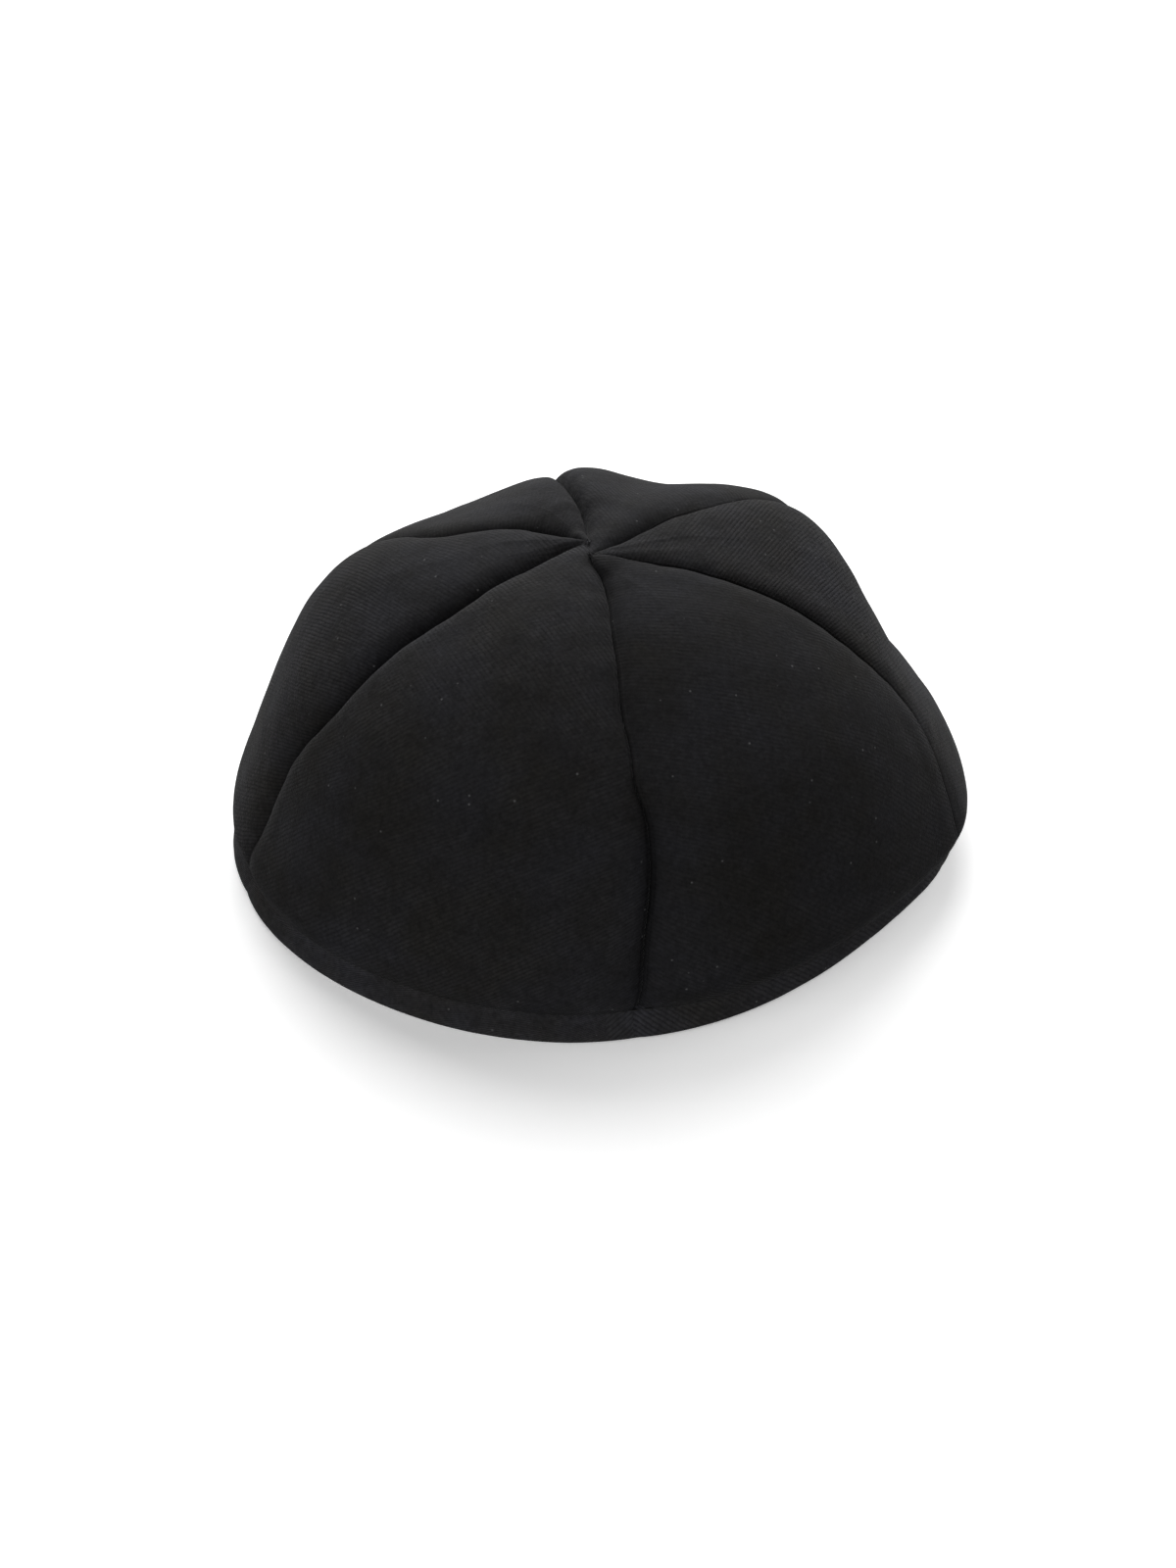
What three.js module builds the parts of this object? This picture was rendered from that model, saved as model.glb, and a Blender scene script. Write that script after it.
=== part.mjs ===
// A deep cloth kippah: six sewn gores that meet at the crown, standing on a stitched, turned-up hem.
// Millimetres, +Z up. The hem stands on Z = 0 and the box of the whole cap is centred on the Z axis.
// Azimuth 0 faces the front, -Y, and grows towards +X.
// The cap is charted from the middle of its rim: each point of the outer face is a radius in the
// direction of an azimuth and a height angle, 0 at the rim and 90 at the crown.
import * as THREE from 'three';

// Plan and height of the smooth dome, before its folds.
const HALF_WIDTH = 85.5;
const HALF_DEPTH = 81;
const PLAN_TURN = 22;
const RIM_CENTRE = { x: 1.65, y: -0.25 };
const CROWN_CENTRE = { x: -1.85, y: -9.85 };
const CROWN_HEIGHT = 74;

// Cloth.
const WALL = 1.5;
const GAP = 0.3;
const HEM_HEIGHT = 6.5;
const HEM_THICKNESS = 2 * WALL;
const HEM_ROUND = 0.6;
const STITCH_GROOVE = { depth: 1.1, spread: 3.2 };

// How fine the faces are.
const GORE_STEPS_ACROSS = 10;
const GORE_STEPS_UP = 20;
const HEM_STEPS = 108;

// The gores end just short of the crown, where all six tips meet.
const TIP_ANGLE = 89;

// Each seam's azimuth at the rim, half way up and at the crown, and how deep and how wide it draws
// the cloth in. The first gore lies between the first two seams, and so on round the cap.
const SEAMS = [
  { name: 'front', rim: 5, middle: 9, crown: 7, depth: 1.6, spread: 8 },
  { name: 'right_front', rim: 69, middle: 77, crown: 80, depth: 2.4, spread: 9 },
  { name: 'back_right', rim: 128, middle: 126, crown: 122, depth: 2, spread: 9 },
  { name: 'back', rim: 187, middle: 193, crown: 186, depth: 2.4, spread: 8 },
  { name: 'back_left', rim: 243, middle: 248, crown: 232, depth: 2.2, spread: 8 },
  { name: 'left_front', rim: 295, middle: 298, crown: 290, depth: 2.6, spread: 9 },
];
const GORES = [
  'gore_front_right',
  'gore_right',
  'gore_back_right',
  'gore_back_left',
  'gore_left',
  'gore_front_left',
];

// Where the soft cloth swells or sags away from the smooth dome: the middle of each fold, how far it
// spreads each way in degrees, and how far it pushes the cloth out in millimetres.
const FOLDS = [
  { name: 'flat of the right front rim', azimuth: 47, height: -4, across: 35, up: 9, push: -5.5 },
  { name: 'belly at the left rim', azimuth: 291, height: 4, across: 29, up: 10, push: 5 },
  { name: 'belly at the right rim', azimuth: 73, height: 7, across: 16, up: 9, push: 4.5 },
  { name: 'hollow of the right side', azimuth: 110, height: 27, across: 24, up: 12, push: -5.5 },
  { name: 'shoulder of the right side', azimuth: 124, height: 50, across: 22, up: 17, push: 6 },
  { name: 'hollow behind the right shoulder', azimuth: 162, height: 59, across: 16, up: 17, push: -3.5 },
  { name: 'swell behind the crown', azimuth: 184, height: 63, across: 57, up: 20, push: 6.5 },
  { name: 'shoulder of the left side', azimuth: 256, height: 43, across: 21, up: 16, push: 5 },
  { name: 'hollow behind the left shoulder', azimuth: 218, height: 63, across: 22, up: 19, push: -3 },
];

// Folds and seams flatten out over the last degrees before the crown, and seams also at the rim.
const FOLD_FADE = 14;
const SEAM_FADE = 12;
const SEAM_LEAST = { rim: 0.25, crown: 0.35 };

const black_twill = new THREE.MeshStandardMaterial({ color: 0x242426, roughness: 0.95, metalness: 0 });
const black_twill_hem = new THREE.MeshStandardMaterial({ color: 0x28282a, roughness: 0.95, metalness: 0 });

const { degToRad, radToDeg, clamp, lerp, euclideanModulo } = THREE.MathUtils;
const bell = (distance, spread) => Math.exp(-((distance / spread) ** 2));
const turnBetween = (a, b) => euclideanModulo(a - b + 180, 360) - 180;

function seamAzimuth(seam, height) {
  // A parabola through the three stated azimuths.
  const t = height / 90;
  return seam.rim * (1 - t) * (1 - 2 * t) + seam.middle * 4 * t * (1 - t) + seam.crown * t * (2 * t - 1);
}

function smoothRadius(azimuth, height) {
  const turned = degToRad(azimuth - PLAN_TURN);
  const h = degToRad(height);
  const plan = 1 / Math.hypot(Math.sin(turned) / HALF_WIDTH, Math.cos(turned) / HALF_DEPTH);
  return 1 / Math.hypot(Math.cos(h) / plan, Math.sin(h) / CROWN_HEIGHT);
}

function foldedRadius(azimuth, height) {
  const fade = clamp((90 - height) / FOLD_FADE, 0, 1);
  return FOLDS.reduce((radius, fold) => {
    const across = bell(turnBetween(azimuth, fold.azimuth), fold.across);
    const up = bell(height - fold.height, fold.up);
    return radius + fold.push * across * up * fade;
  }, smoothRadius(azimuth, height));
}

function seamPull(azimuth, height, radius) {
  // The nearest seam draws the cloth in, and its valley has a sharp bottom.
  const millimetresPerDegree = degToRad(1) * radius * Math.cos(degToRad(height));
  const pulls = SEAMS.map((seam) => {
    const away = Math.abs(turnBetween(azimuth, seamAzimuth(seam, height))) * millimetresPerDegree;
    return seam.depth * Math.exp(-away / seam.spread);
  });
  const atRim = clamp(height / SEAM_FADE, SEAM_LEAST.rim, 1);
  const atCrown = clamp((90 - height) / SEAM_FADE, SEAM_LEAST.crown, 1);
  return Math.max(...pulls) * atRim * atCrown;
}

function clothPoint(azimuth, height, inset) {
  // A point of the outer face, or of the face that lies inset millimetres inside it.
  const a = degToRad(azimuth);
  const h = degToRad(height);
  const folded = foldedRadius(azimuth, height);
  const aboveStitches = folded * Math.sin(h) - HEM_HEIGHT;
  const groove = STITCH_GROOVE.depth * bell(aboveStitches, STITCH_GROOVE.spread);
  const radius = folded - seamPull(azimuth, height, folded) - groove - inset;
  const towardsCrown = Math.sin(h) ** 2;
  return new THREE.Vector3(
    radius * Math.cos(h) * Math.sin(a) + lerp(RIM_CENTRE.x, CROWN_CENTRE.x, towardsCrown),
    -radius * Math.cos(h) * Math.cos(a) + lerp(RIM_CENTRE.y, CROWN_CENTRE.y, towardsCrown),
    radius * Math.sin(h),
  );
}

function heightAngleAt(azimuth, level, inset) {
  // The height angle at which that face crosses a level in millimetres above the floor.
  let angle = radToDeg(Math.asin(level / HALF_WIDTH));
  for (let pass = 0; pass < 4; pass += 1) {
    const reached = clothPoint(azimuth, angle, inset).z;
    angle += radToDeg((level - reached) / HALF_WIDTH);
  }
  return angle;
}

function closedGrid(rings, ringsClose) {
  // Joins rings of points into one closed surface. Each ring is itself a closed loop. The rings
  // close on themselves, or else the first and last are capped by strips across the loop.
  const count = rings[0].length;
  const positions = rings.flat().flatMap((point) => point.toArray());
  const faces = [];
  const at = (ring, index) => (ring % rings.length) * count + (index % count);
  const lastRing = ringsClose ? rings.length : rings.length - 1;
  for (let ring = 0; ring < lastRing; ring += 1) {
    for (let index = 0; index < count; index += 1) {
      const [a, b] = [at(ring, index), at(ring, index + 1)];
      const [c, d] = [at(ring + 1, index), at(ring + 1, index + 1)];
      faces.push(a, b, d, a, d, c);
    }
  }
  if (!ringsClose) {
    const top = rings.length - 1;
    for (let index = 0; index < count / 2 - 1; index += 1) {
      const [near, next] = [index, index + 1];
      const [far, farNext] = [count - 1 - index, count - 2 - index];
      faces.push(at(0, near), at(0, farNext), at(0, next), at(0, near), at(0, far), at(0, farNext));
      faces.push(at(top, near), at(top, next), at(top, farNext));
      faces.push(at(top, near), at(top, farNext), at(top, far));
    }
  }
  const geometry = new THREE.BufferGeometry();
  geometry.setAttribute('position', new THREE.Float32BufferAttribute(positions, 3));
  geometry.setIndex(faces);
  geometry.computeVertexNormals();
  return geometry;
}

function gorePoint(from, to, across, up, inset) {
  // A point of the gore between two seams. across runs from 0 at the first seam to 1 at the second,
  // and up from 0 just above the hem to 1 at the tip.
  const rimAzimuth = from.rim + across * euclideanModulo(to.rim - from.rim, 360);
  const lowest = heightAngleAt(rimAzimuth, HEM_HEIGHT + GAP, inset);
  const height = lerp(lowest, TIP_ANGLE, up);
  const start = seamAzimuth(from, height);
  const width = euclideanModulo(seamAzimuth(to, height) - start, 360);
  const reach = foldedRadius(start, height) * Math.cos(degToRad(height));
  const clear = radToDeg(GAP / 2 / reach);
  return clothPoint(start + lerp(clear, width - clear, across), height, inset);
}

function goreGeometry(from, to) {
  // One gore as a stack of thin loops, out along its outer face and back along its inner face. Its
  // cells are narrower beside its two seams.
  const rings = [];
  for (let step = 0; step <= GORE_STEPS_UP; step += 1) {
    const up = step / GORE_STEPS_UP;
    const outer = [];
    const inner = [];
    for (let cell = 0; cell <= GORE_STEPS_ACROSS; cell += 1) {
      const across = (1 - Math.cos((Math.PI * cell) / GORE_STEPS_ACROSS)) / 2;
      outer.push(gorePoint(from, to, across, up, 0));
      inner.push(gorePoint(from, to, across, up, WALL));
    }
    rings.push([...outer, ...inner.reverse()]);
  }
  return closedGrid(rings, false);
}

function hemGeometry() {
  // The section of the turned-up hem, as level and inset from the outer face: up its inner face
  // from the foot, across its top and down its outer face.
  const section = [
    { level: 0, inset: HEM_THICKNESS - HEM_ROUND },
    { level: HEM_ROUND, inset: HEM_THICKNESS },
    { level: HEM_HEIGHT - HEM_ROUND, inset: HEM_THICKNESS },
    { level: HEM_HEIGHT, inset: HEM_THICKNESS - HEM_ROUND },
    { level: HEM_HEIGHT, inset: HEM_ROUND },
    { level: HEM_HEIGHT - HEM_ROUND, inset: 0 },
    { level: HEM_HEIGHT / 2, inset: 0 },
    { level: HEM_ROUND, inset: 0 },
    { level: 0, inset: HEM_ROUND },
  ];
  const rings = [];
  for (let step = 0; step < HEM_STEPS; step += 1) {
    const azimuth = (360 * step) / HEM_STEPS;
    rings.push(section.map(({ level, inset }) => {
      const point = clothPoint(azimuth, heightAngleAt(azimuth, level, inset), inset);
      return point.setZ(level);
    }));
  }
  return closedGrid(rings, true);
}

const cap = new THREE.Group();
GORES.forEach((name, index) => {
  const [from, to] = [SEAMS[index], SEAMS[(index + 1) % SEAMS.length]];
  const gore = new THREE.Mesh(goreGeometry(from, to), black_twill);
  gore.name = name;
  cap.add(gore);
});
const hem = new THREE.Mesh(hemGeometry(), black_twill_hem);
hem.name = 'hem';
cap.add(hem);

export default cap;
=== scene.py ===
# %% [markdown]
# A deep black kippah of six sewn gores, standing open side down on its hem.
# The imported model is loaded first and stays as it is. Everything made below goes around it, in
# metres and in the same place, and each soft CAD solid is replaced by a piece with the real cloth's
# rolled seams, turned edges and weave.

# %% Load the frame
import math
from functools import partial
from types import SimpleNamespace

import bmesh
import bpy
import numpy as np
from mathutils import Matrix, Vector, noise


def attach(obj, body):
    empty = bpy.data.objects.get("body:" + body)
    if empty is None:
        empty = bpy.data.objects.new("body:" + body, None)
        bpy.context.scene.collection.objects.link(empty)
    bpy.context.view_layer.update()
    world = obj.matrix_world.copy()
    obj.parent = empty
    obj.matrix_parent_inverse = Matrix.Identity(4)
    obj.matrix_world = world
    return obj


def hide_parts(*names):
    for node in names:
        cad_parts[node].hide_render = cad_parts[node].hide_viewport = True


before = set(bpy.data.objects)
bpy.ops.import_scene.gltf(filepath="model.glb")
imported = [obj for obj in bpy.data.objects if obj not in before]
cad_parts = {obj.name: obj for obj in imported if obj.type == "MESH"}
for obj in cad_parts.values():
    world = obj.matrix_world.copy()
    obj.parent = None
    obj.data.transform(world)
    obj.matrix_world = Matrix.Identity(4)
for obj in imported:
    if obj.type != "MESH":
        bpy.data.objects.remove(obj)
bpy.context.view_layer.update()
MM = 0.001

# %% [markdown]
# Three small helpers serve every material. Colours are written as the sRGB hex values that a colour
# picker shows and turned to the linear values that the shader wants. One function adds a node with
# its settings and links, so that a material reads as a list of what it is made of.

# %% Helpers for materials
def linear(hex_colour):
    channels = [int(hex_colour[i:i + 2], 16) / 255 for i in (1, 3, 5)]
    return [c / 12.92 if c <= 0.04045 else ((c + 0.055) / 1.055) ** 2.4 for c in channels] + [1.0]


def add(owner, kind, settings=None, **inputs):
    """Adds a node to a material or world. An input is a value or a socket; i0, i1 name it by number."""
    tree = owner.node_tree
    node = tree.nodes.new(kind)
    for name, value in (settings or {}).items():
        setattr(node, name, value)
    for name, value in inputs.items():
        key = int(name[1:]) if name[0] == "i" and name[1:].isdigit() else name.replace("_", " ")
        if isinstance(value, bpy.types.NodeSocket):
            tree.links.new(value, node.inputs[key])
        else:
            node.inputs[key].default_value = value
    return node


def new_material(name):
    material = bpy.data.materials.new(name)
    material.use_nodes = True
    material.node_tree.nodes.clear()
    return material


# %% [markdown]
# The camera comes first. The cap's outline, its even gores and the height of its hem agree with a
# close view: a 32 mm lens about a third of a metre away, looking down by 40 degrees at the front. It
# aims at the middle of the rim, and a small lens shift puts that point at the pixel where the photo
# has it.

# %% Camera
FRAME_W, FRAME_H = 1200, 1600
LENS_MM, SENSOR_MM = 32.0, 36.0
LOOK_DOWN = math.radians(40)
RIM_DISTANCE = 345.2 * MM
RIM_PIXEL = (610, 802)

focal_px = LENS_MM / SENSOR_MM * FRAME_H
camera_data = bpy.data.cameras.new("camera")
camera_data.lens, camera_data.sensor_width, camera_data.sensor_fit = LENS_MM, SENSOR_MM, "AUTO"
camera_data.clip_start, camera_data.clip_end = 0.01, 20
camera_data.shift_x = -(RIM_PIXEL[0] - FRAME_W / 2) / FRAME_H
camera_data.shift_y = (RIM_PIXEL[1] - FRAME_H / 2) / FRAME_H
camera = bpy.data.objects.new("camera", camera_data)
bpy.context.collection.objects.link(camera)
camera.location = (0, -RIM_DISTANCE * math.cos(LOOK_DOWN), RIM_DISTANCE * math.sin(LOOK_DOWN))
camera.rotation_euler = (math.pi / 2 - LOOK_DOWN, 0, 0)
bpy.context.scene.camera = camera
print("focal length in px", round(focal_px), "camera at", [round(c, 3) for c in camera.location])

# %% [markdown]
# The shape of the cloth. A soft cap that stands on its rim is a dome that swells and sags a little,
# so it is charted the way a globe is: from the middle of its rim, each point is a radius at an
# azimuth and a height angle. The smooth dome, its folds and the valleys of the seams are the sizes
# that the solids were made from, in millimetres and degrees. The two bends across the front and the
# wander of the seams are finer than that, and were added here from a closer look at the photo.

# %% The dome, its folds and its seams
HALF_WIDTH, HALF_DEPTH, PLAN_TURN, CROWN_HEIGHT = 85.5, 81.0, 22.0, 74.0
RIM_CENTRE, CROWN_CENTRE = (1.65, -0.25), (-1.85, -9.85)
HEM_HEIGHT = 6.2

# Azimuth, height angle, spread across, spread up, and how far the cloth is pushed out there.
FOLDS = {
    "flat of the right front rim": (47, -4, 35, 9, -5.5),
    "belly at the left rim": (291, 4, 29, 10, 5),
    "belly at the right rim": (73, 7, 16, 9, 4.5),
    "hollow of the right side": (110, 27, 24, 12, -5.5),
    "shoulder of the right side": (124, 50, 22, 17, 6),
    "hollow behind the right shoulder": (162, 59, 16, 17, -3.5),
    "swell behind the crown": (184, 63, 57, 20, 6.5),
    "shoulder of the left side": (256, 43, 21, 16, 5),
    "hollow behind the left shoulder": (218, 63, 22, 19, -3),
    "bend across the right of the front": (34, 38, 20, 7, 0.9),
    "bend across the left of the front": (336, 38, 20, 6, 0.8),
}
# Azimuth at the rim, half way up and at the crown, and the depth and spread of the valley.
SEAMS = {
    "front": (5, 9, 7, 1.6, 8),
    "right_front": (69, 77, 80, 2.4, 9),
    "back_right": (128, 126, 122, 2, 9),
    "back": (187, 193, 186, 2.4, 8),
    "back_left": (243, 248, 232, 2.2, 8),
    "left_front": (295, 298, 290, 2.6, 9),
}
# Hand sewing wanders: height angle, offset in mm along the azimuth and spread in height angle.
WANDER = {
    "front": [(79, 1.5, 8), (53, -1.7, 8), (42.5, -1.3, 4.5), (16, -1.4, 9), (4, -0.9, 6)],
    "right_front": [(60, 0.9, 14), (29, 1.2, 8), (12, -4.0, 8)],
    "back_right": [(74, 0.9, 6)],
    "back": [(79, -1.0, 8)],
    "back_left": [(76, -2.2, 7), (61, 3.2, 7)],
    "left_front": [(64, 1.4, 8), (28, -1.3, 6), (21, -3.4, 10)],
}
SEAM_NAMES = list(SEAMS)
GORES = [
    "gore_front_right",
    "gore_right",
    "gore_back_right",
    "gore_back_left",
    "gore_left",
    "gore_front_left",
]
# This seam lies flat near the rim: the share of its valley that is kept there, and the two height
# angles between which the valley grows to its whole depth.
VALLEY_KEPT_LOW = {"right_front": 0.25}
VALLEY_LOW, VALLEY_FULL = 22, 46
# The groove that the topstitching draws in above the hem.
GROOVE_DEPTH, GROOVE_SPREAD = 1.6, 3.2
# Folds fade out over this many degrees below the crown, and valleys fade at the rim and the crown.
FOLD_FADE = 14
VALLEY_FADE, VALLEY_AT_RIM, VALLEY_AT_CROWN = 12, 0.25, 0.35
# An offset in mm becomes an angle on a parallel. Its share of the crown's height stays above this,
# so that a seam does not whirl at the crown.
LEAST_PARALLEL = 0.12
# A height angle is found from a level by closing in on it this many times.
LEVEL_ROUNDS = 4


def bell(distance, spread):
    return np.exp(-(distance / spread) ** 2)


def turn_between(a, b):
    return (a - b + 180) % 360 - 180


def seam_azimuth(seam, height):
    """A smooth path through the three azimuths of the seam, with its wander on top."""
    rim, middle, crown = SEAMS[seam][:3]
    t = height / 90
    path = rim * (1 - t) * (1 - 2 * t) + middle * 4 * t * (1 - t) + crown * t * (2 * t - 1)
    parallel = CROWN_HEIGHT * np.maximum(np.cos(np.radians(height)), LEAST_PARALLEL)
    for wander_height, offset, spread in WANDER[seam]:
        path = path + np.degrees(offset * bell(height - wander_height, spread) / parallel)
    return path


def folded_radius(azimuth, height):
    """The radius of the dome with its folds, before the seams draw it in."""
    turned, h = np.radians(azimuth - PLAN_TURN), np.radians(height)
    plan = 1 / np.hypot(np.sin(turned) / HALF_WIDTH, np.cos(turned) / HALF_DEPTH)
    radius = 1 / np.hypot(np.cos(h) / plan, np.sin(h) / CROWN_HEIGHT)
    fade = np.clip((90 - height) / FOLD_FADE, 0, 1)
    for fold_azimuth, fold_height, across, up, push in FOLDS.values():
        out = push * bell(turn_between(azimuth, fold_azimuth), across) * bell(height - fold_height, up)
        radius = radius + out * fade
    return radius


def seam_pull(azimuth, height, radius):
    """How far the nearest seam draws the cloth in."""
    mm_per_degree = np.radians(1) * radius * np.cos(np.radians(height))
    pull = np.zeros_like(radius)
    for seam in SEAMS:
        depth, spread = SEAMS[seam][3:]
        away = np.abs(turn_between(azimuth, seam_azimuth(seam, height))) * mm_per_degree
        kept = np.interp(height, [VALLEY_LOW, VALLEY_FULL], [VALLEY_KEPT_LOW.get(seam, 1), 1])
        pull = np.maximum(pull, kept * depth * np.exp(-away / spread))
    at_rim = np.clip(height / VALLEY_FADE, VALLEY_AT_RIM, 1)
    at_crown = np.clip((90 - height) / VALLEY_FADE, VALLEY_AT_CROWN, 1)
    return pull * at_rim * at_crown


def cloth_point(azimuth, height, inset):
    """Points of the outer face in mm, or of the face that lies inset inside it."""
    a, h = np.radians(azimuth), np.radians(height)
    folded = folded_radius(azimuth, height)
    groove = GROOVE_DEPTH * bell(folded * np.sin(h) - HEM_HEIGHT, GROOVE_SPREAD)
    radius = folded - seam_pull(azimuth, height, folded) - groove - inset
    to_crown = np.sin(h) ** 2
    x = radius * np.cos(h) * np.sin(a) + RIM_CENTRE[0] + (CROWN_CENTRE[0] - RIM_CENTRE[0]) * to_crown
    y = -radius * np.cos(h) * np.cos(a) + RIM_CENTRE[1] + (CROWN_CENTRE[1] - RIM_CENTRE[1]) * to_crown
    return np.stack([x, y, radius * np.sin(h)], axis=-1)


def height_angle_at(azimuth, level, inset):
    """The height angle at which that face crosses a level above the floor."""
    angle = np.degrees(np.arcsin(level / HALF_WIDTH)) + np.zeros_like(azimuth)
    for _ in range(LEVEL_ROUNDS):
        angle += np.degrees((level - cloth_point(azimuth, angle, inset)[..., 2]) / HALF_WIDTH)
    return angle


print("crown of the dome in mm", cloth_point(np.array([0.0]), np.array([90.0]), 0).round(1))

# %% [markdown]
# A gore is one leaf of cloth. In a real cap its two long edges are turned to the inside along the
# seams, and the turned strips are pressed open against its back. The leaf is therefore a flat grid
# whose outer columns are bent over: round a small fold, down a short wall into the seam, and back
# under the leaf. Two gores then meet wall to wall at the bottom of a valley, as sewn cloth does.
# A grid cut off at the seam would meet its neighbour in a knife edge.

# %% How the edge of a gore is turned in
# In mm: the cloth's thickness, the seam allowance, the fold's radius and how deep the strip lies.
CLOTH = 0.6
ALLOWANCE = 6.0
FOLD_RADIUS = 0.8
TURNED_IN = 1.6
# Where the strip begins to bend up into the wall, and the columns of the bend and of the wall.
STRIP_END = 1.2
BEND_AND_WALL = [(0.7, 1.57, 1), (0.35, 1.48, 1), (0.1, 1.34, 1), (0, 1.2, 0.95), (0, 0.95, 0.35)]
STRIP_COLUMNS, ROLL_COLUMNS = 5, 7


def edge_profile():
    """Distance from the seam, depth under the face and share of wall, from the raw edge outwards."""
    strip = [(d, TURNED_IN, 1) for d in np.linspace(ALLOWANCE, STRIP_END, STRIP_COLUMNS)]
    angles = np.linspace(0, math.pi / 2, ROLL_COLUMNS)
    roll = [(FOLD_RADIUS * (1 - math.cos(a)), FOLD_RADIUS * (1 - math.sin(a)), 0) for a in angles]
    return np.array(strip + BEND_AND_WALL + roll)


EDGE = edge_profile()
FACE_COLUMNS, ROWS = 112, 176
COLUMNS = FACE_COLUMNS + 2 * len(EDGE)
print("edge profile has", len(EDGE), "columns")

# %% [markdown]
# A seam of this cap is not even on its two sides. The leaf nearer the back rolls down into the seam
# over several millimetres, while the edge of the leaf in front of it stays up and casts a thin
# shadow line. The front seam is shallow above its bend and a wide valley below it, and the back
# seams fade out as they leave the crown. Going round with the azimuth, each seam has a depth and a
# reach for the leaf before it and for the leaf after it, and a strength at a few height angles.

# %% How deep each seam rolls in
# Depth and reach in mm of the leaf before the seam, and of the leaf after it.
ROLLS = {
    "front": ((2.3, 2.5), (2.3, 2.5)),
    "right_front": ((0.3, 2.5), (1.4, 1.0)),
    "back_right": ((0.2, 0.8), (2.0, 2.2)),
    "back": ((1.2, 1.2), (2.0, 2.0)),
    "back_left": ((2.8, 2.3), (0.2, 0.8)),
    "left_front": ((4.4, 2.8), (0.2, 0.8)),
}
# The strength of the roll by height angle, from 0 at the rim to 90 at the crown.
STRENGTHS = {
    "front": {0: 0.4, 12: 0.75, 26: 1.0, 37: 0.85, 44: 0.3, 60: 0.5, 75: 0.75, 90: 0.8},
    "right_front": {0: 0, 26: 0, 36: 0.3, 46: 0.75, 56: 0.85, 70: 0.6, 80: 0.4, 90: 0.4},
    "back_right": {0: 0.05, 66: 0.05, 73: 0.35, 79: 0.9, 90: 1.1},
    "back": {0: 0.3, 50: 0.5, 64: 1.0, 90: 1.1},
    "back_left": {0: 0.1, 54: 0.15, 64: 0.6, 72: 1.0, 90: 1.2},
    "left_front": {0: 0, 8: 0.1, 14: 0.35, 24: 0.9, 34: 1.0, 60: 1.0, 76: 0.7, 90: 0.6},
}
# Right at the stitches the thread pulls the cloth down further, by these depths and over this reach.
CORES = {
    "front": 0.1,
    "right_front": 0.8,
    "back_right": 0.6,
    "back": 1.0,
    "back_left": 1.3,
    "left_front": 1.7,
}
CORE_REACH = 0.9
# Some stretches lie flatter, so that the fold of the edges hardly shows: share kept by height angle.
FOLD_KEPT = {
    "right_front": {24: 0.25, 46: 1},
    "front": {30: 0.3, 42: 1},
    "back_right": {42: 1, 56: 0.2, 66: 0.2, 74: 1},
}
# Shade is painted deep in a seam: the cloth is darkened there by this share, and over this reach
# in mm. A roll of DEEP_ROLL mm takes all of it, and the edge that stays up gets its own painted shade.
SHADE, SHADE_REACH = 0.74, 1.9
EDGE_SHADE, EDGE_SHADE_REACH = 0.38, 1.3
DEEP_ROLL = 2.5
# The turned strips lie under the cloth on both sides of a seam. They lift it by this much, which
# ends softly at their raw edges.
STRIP_LIFT, STRIP_EDGE = 0.45, 1.4


def share_at(shares, height):
    """The value between the two nearest height angles of a table."""
    return np.interp(height, list(shares), list(shares.values()))


# %% [markdown]
# Sewn cloth is never quite smooth. Beside a seam it puckers in short ripples that cross the seam
# and die out within a centimetre, and the open face is a little wavy from being handled. Both are
# pushed into the mesh itself, from smooth noise that is the same on every run.

# %% Ripples and waves of the cloth
# Height and size in mm of the broad waves and of the small creases.
WAVE, WAVE_SIZE = 0.55, 24.0
CREASE, CREASE_SIZE = 0.16, 7.0
# The puckers: height, pitch and reach in mm, how they bend, and how unevenly they are spread.
PUCKER, PUCKER_PITCH, PUCKER_REACH = 0.1, 7.5, 6.5
PUCKER_BEND, PUCKER_BEND_SIZE = 2.2, 15.0
PUCKER_MEAN, PUCKER_SPREAD, PUCKER_PATCH = 0.55, 0.9, 21.0
# Each seed looks at another part of the same noise.
SEED_STEP = (17.3, 5.1, 29.7)


def smooth_noise(points, size, seed):
    shift = Vector([seed * step for step in SEED_STEP])
    flat = points.reshape(-1, 3) / size
    values = [noise.noise(Vector(p) + shift) for p in flat]
    return np.array(values).reshape(points.shape[:-1])


def handled(points, to_seam, along_seam, seed):
    """How far the cloth stands out from the plain dome, in mm."""
    waves = WAVE * smooth_noise(points, WAVE_SIZE, 3) + CREASE * smooth_noise(points, CREASE_SIZE, 5)
    wander = PUCKER_BEND * smooth_noise(points, PUCKER_BEND_SIZE, seed)
    ripples = np.sin(2 * math.pi * along_seam / PUCKER_PITCH + wander)
    uneven = PUCKER_MEAN + PUCKER_SPREAD * smooth_noise(points, PUCKER_PATCH, seed + 3)
    return waves + PUCKER * ripples * uneven * np.exp(-to_seam / PUCKER_REACH)


# %% [markdown]
# The maker sewed two halves of three gores and then joined them with one seam from front to back.
# The tips of the two halves missed each other by a few millimetres, which shows at the crown: the
# left seams meet a little behind the right ones. Each half is slid along that long seam by half the
# miss, and the slide dies out away from the crown. It follows the bends of the seam, and presses
# the halves together a little, so that no light comes through between them.

# %% The miss at the crown
# The height angle at which a gore ends.
TIP_ANGLE = 89.95
# In mm: how far the tips miss each other, how far that reaches, and how hard each half is pressed.
MISS, MISS_REACH = 5.0, 12.0
PRESSED = 0.25
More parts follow.
